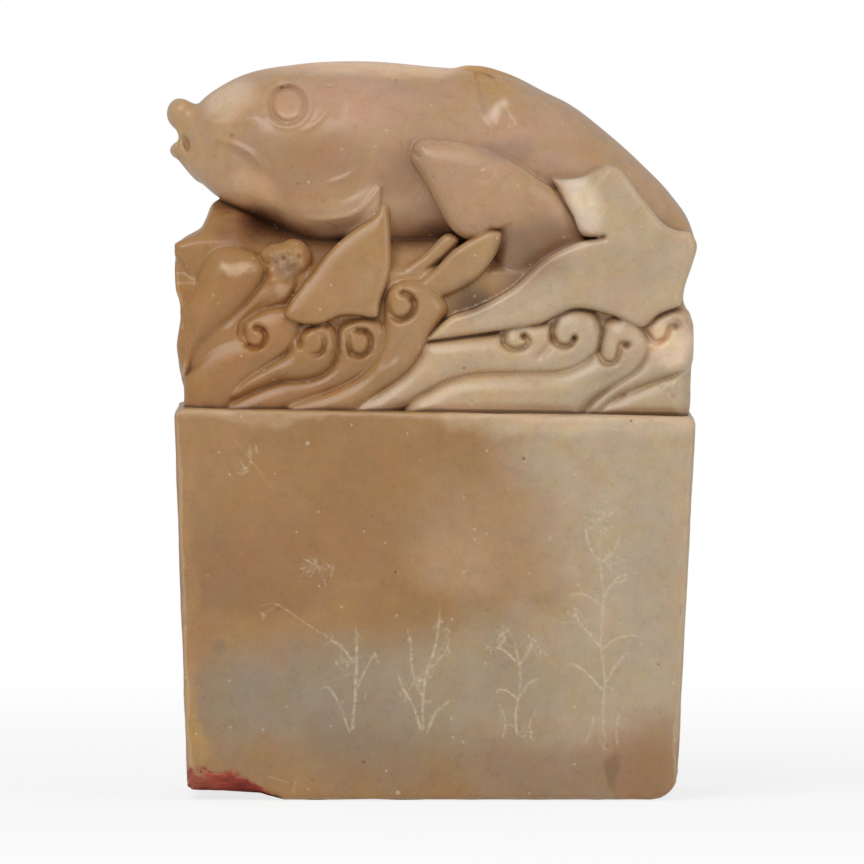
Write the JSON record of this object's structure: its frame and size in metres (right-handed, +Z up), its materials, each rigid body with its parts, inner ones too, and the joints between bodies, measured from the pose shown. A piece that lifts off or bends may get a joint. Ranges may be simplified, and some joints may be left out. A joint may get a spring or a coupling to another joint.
{
  "type": "seal stamp",
  "caption": "Carved soapstone hand seal: a plain tapering block with a lozenge seal face, and a knob carved as a carp, a small fish and curling waves.",
  "frame": {"origin": "middle of the object's box, on the plane of the seal face, on which the seal stands", "axes": "+Z up out of the seal face towards the knob, -Y the front with the small fish and the tail fin, +X to the right seen from the front, away from the carp's head"},
  "size_m": [0.0529, 0.03, 0.0738],
  "materials": {
    "tan_soapstone": "waxed, satin",
    "amber_soapstone": "waxed, satin",
    "pink_soapstone": "waxed, satin",
    "cream_soapstone": "waxed, satin",
    "seal_paste": "dried, matt"
  },
  "bodies": {
    "root": {"back_edge_wave": "amber_soapstone", "back_foot_wave": "amber_soapstone", "back_gill_cover": "pink_soapstone", "back_high_wave": "cream_soapstone", "back_left_crest": "amber_soapstone", "back_left_curl": "amber_soapstone", "back_low_wave": "cream_soapstone", "back_middle_curl": "amber_soapstone", "back_side_fin": "amber_soapstone", "back_small_curl": "amber_soapstone", "back_swell": "amber_soapstone", "back_tall_curl": "amber_soapstone", "carp_body": "pink_soapstone", "carp_dorsal_fin": "pink_soapstone", "carp_tail_fin": "cream_soapstone", "crest_fold": "amber_soapstone", "edge_wave": "cream_soapstone", "foam_cluster": "amber_soapstone", "foot_wave": "cream_soapstone", "front_gill_cover": "pink_soapstone", "front_side_fin": "amber_soapstone", "high_wave": "cream_soapstone", "left_crest": "amber_soapstone", "left_curl": "amber_soapstone", "low_wave": "cream_soapstone", "lower_lip": "pink_soapstone", "middle_curl": "amber_soapstone", "seal_block": "tan_soapstone", "seal_paste": "seal_paste", "small_curl": "amber_soapstone", "small_fish_body": "pink_soapstone", "small_fish_far_fin": "amber_soapstone", "small_fish_near_fin": "amber_soapstone", "tall_curl": "amber_soapstone", "upper_lip": "pink_soapstone", "wave_bank": "amber_soapstone"}
  },
  "joints": []
}
